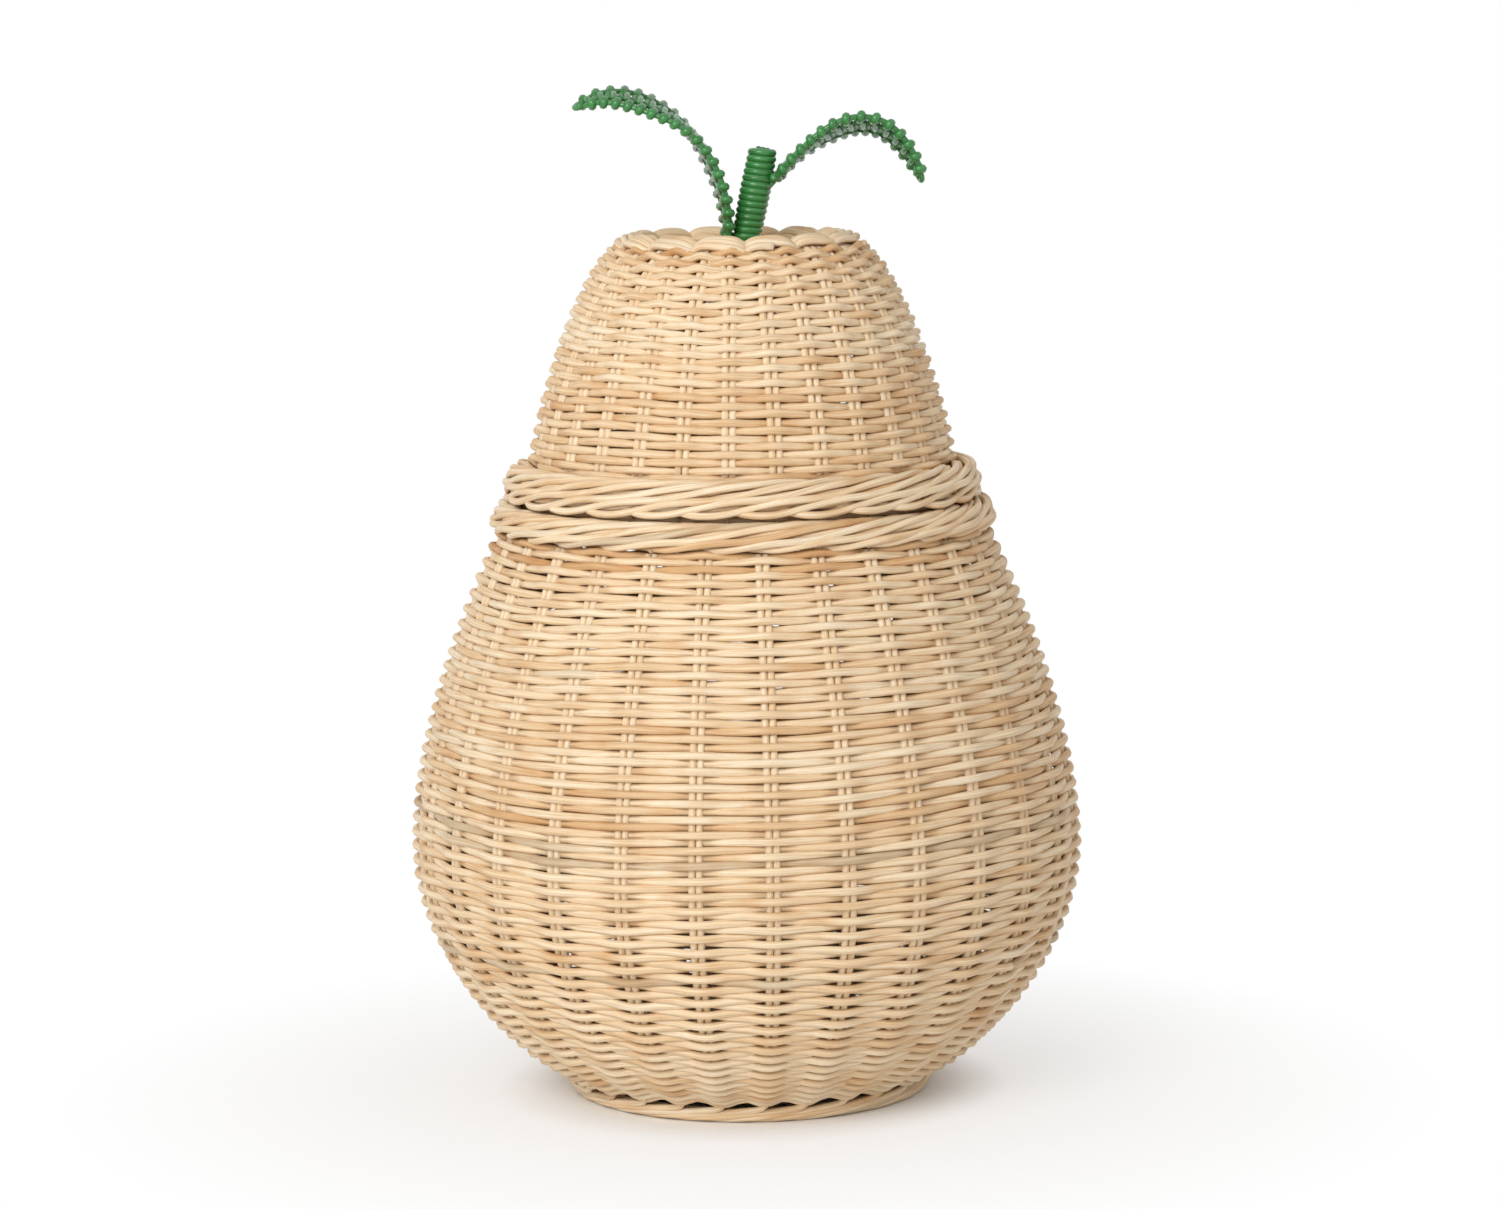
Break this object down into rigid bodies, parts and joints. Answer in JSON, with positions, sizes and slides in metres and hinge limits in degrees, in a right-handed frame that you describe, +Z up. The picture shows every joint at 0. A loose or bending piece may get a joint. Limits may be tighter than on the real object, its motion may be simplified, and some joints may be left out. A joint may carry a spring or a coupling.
{
  "type": "lidded wicker storage basket",
  "caption": "Pear-shaped round wicker basket with a lift-off lid, plaited rims, a wound stem and woven leaves.",
  "frame": {"origin": "on the floor, under the middle of the round foot", "axes": "+Z up along the basket's upright axis, -Y to the front as pictured, +X to the viewer's right"},
  "size_m": [0.2586, 0.26, 0.3861],
  "materials": {
    "rattan_weavers": "satin natural rattan",
    "rattan_stakes": "satin natural rattan",
    "green_cane": "satin green stain"
  },
  "bodies": {
    "basket": {"foot_border": "rattan_weavers", "base_weave": "rattan_weavers", "body_upsett": "rattan_weavers", "body_weave": "rattan_weavers", "body_border": "rattan_weavers", "body_stake_pair_01": "rattan_stakes", "body_stake_pair_02": "rattan_stakes", "body_stake_pair_03": "rattan_stakes", "body_stake_pair_04": "rattan_stakes", "body_stake_pair_05": "rattan_stakes", "body_stake_pair_06": "rattan_stakes", "body_stake_pair_07": "rattan_stakes", "body_stake_pair_08": "rattan_stakes", "body_stake_pair_09": "rattan_stakes", "body_stake_pair_10": "rattan_stakes", "body_stake_pair_11": "rattan_stakes", "body_stake_pair_12": "rattan_stakes", "body_stake_pair_13": "rattan_stakes", "body_stake_pair_14": "rattan_stakes"},
    "lid": {"crown_weave": "rattan_weavers", "lid_weave": "rattan_weavers", "lid_border": "rattan_weavers", "lid_collar": "rattan_weavers", "lid_stake_pair_01": "rattan_stakes", "lid_stake_pair_02": "rattan_stakes", "lid_stake_pair_03": "rattan_stakes", "lid_stake_pair_04": "rattan_stakes", "lid_stake_pair_05": "rattan_stakes", "lid_stake_pair_06": "rattan_stakes", "lid_stake_pair_07": "rattan_stakes", "lid_stake_pair_08": "rattan_stakes", "lid_stake_pair_09": "rattan_stakes", "lid_stake_pair_10": "rattan_stakes", "lid_stake_pair_11": "rattan_stakes", "lid_stake_pair_12": "rattan_stakes", "lid_stake_pair_13": "rattan_stakes", "lid_stake_pair_14": "rattan_stakes", "stem_core": "green_cane", "stem_winding": "green_cane", "left_leaf_edge": "green_cane", "left_leaf_weave": "green_cane", "right_leaf_edge": "green_cane", "right_leaf_weave": "green_cane"}
  },
  "joints": [
    {"name": "lid_lift", "type": "slide", "parent": "basket", "child": "lid", "axis": [0, 0, 1], "range_m": [0, 0.2]}
  ]
}
